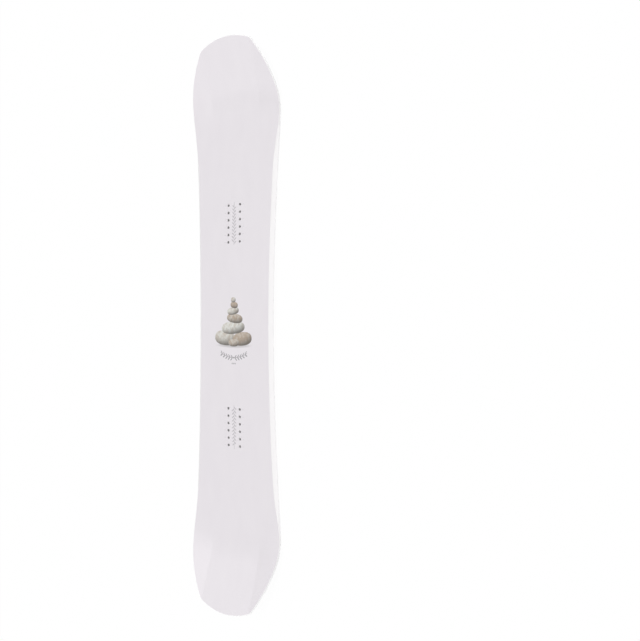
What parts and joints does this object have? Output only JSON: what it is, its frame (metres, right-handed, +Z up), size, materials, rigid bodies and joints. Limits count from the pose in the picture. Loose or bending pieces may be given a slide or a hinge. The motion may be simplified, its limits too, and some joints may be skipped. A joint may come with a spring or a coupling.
{
  "type": "snowboard",
  "caption": "Bare twin-tip snowboard pressed as a sandwich: running base, steel edges, laminates, lath core, sidewalls, tip spacers, topsheet and threaded binding inserts.",
  "frame": {"origin": "on the ground under the middle of the board", "axes": "+X along the board towards the nose, +Y across it towards the toe side, +Z up from the base"},
  "size_m": [1.5288, 0.2988, 0.0591],
  "materials": {
    "topsheet_plastic": "satin printed topsheet",
    "running_plastic": "structured and waxed sintered base",
    "edge_steel": "ground hardened steel",
    "insert_steel": "stainless steel",
    "sidewall_plastic": "milled and sanded",
    "spacer_plastic": "sanded",
    "glass_laminate": "cured resin and glass",
    "damping_rubber": "matt foil",
    "light_wood": "planed light lath",
    "dark_wood": "planed dark lath"
  },
  "bodies": {
    "root": {"base": "running_plastic", "bottom_laminate": "glass_laminate", "core_lath_1": "light_wood", "core_lath_2": "dark_wood", "core_lath_3": "light_wood", "core_lath_4": "dark_wood", "core_lath_5": "light_wood", "core_lath_6": "dark_wood", "core_lath_7": "light_wood", "core_lath_8": "dark_wood", "core_lath_9": "light_wood", "heel_damping_strip": "damping_rubber", "heel_edge": "edge_steel", "heel_sidewall": "sidewall_plastic", "insert_nose_heel_1": "insert_steel", "insert_nose_heel_2": "insert_steel", "insert_nose_heel_3": "insert_steel", "insert_nose_heel_4": "insert_steel", "insert_nose_heel_5": "insert_steel", "insert_nose_heel_6": "insert_steel", "insert_nose_toe_1": "insert_steel", "insert_nose_toe_2": "insert_steel", "insert_nose_toe_3": "insert_steel", "insert_nose_toe_4": "insert_steel", "insert_nose_toe_5": "insert_steel", "insert_nose_toe_6": "insert_steel", "insert_tail_heel_1": "insert_steel", "insert_tail_heel_2": "insert_steel", "insert_tail_heel_3": "insert_steel", "insert_tail_heel_4": "insert_steel", "insert_tail_heel_5": "insert_steel", "insert_tail_heel_6": "insert_steel", "insert_tail_toe_1": "insert_steel", "insert_tail_toe_2": "insert_steel", "insert_tail_toe_3": "insert_steel", "insert_tail_toe_4": "insert_steel", "insert_tail_toe_5": "insert_steel", "insert_tail_toe_6": "insert_steel", "nose_spacer": "spacer_plastic", "tail_spacer": "spacer_plastic", "toe_damping_strip": "damping_rubber", "toe_edge": "edge_steel", "toe_sidewall": "sidewall_plastic", "top_laminate": "glass_laminate", "topsheet": "topsheet_plastic"}
  },
  "joints": []
}
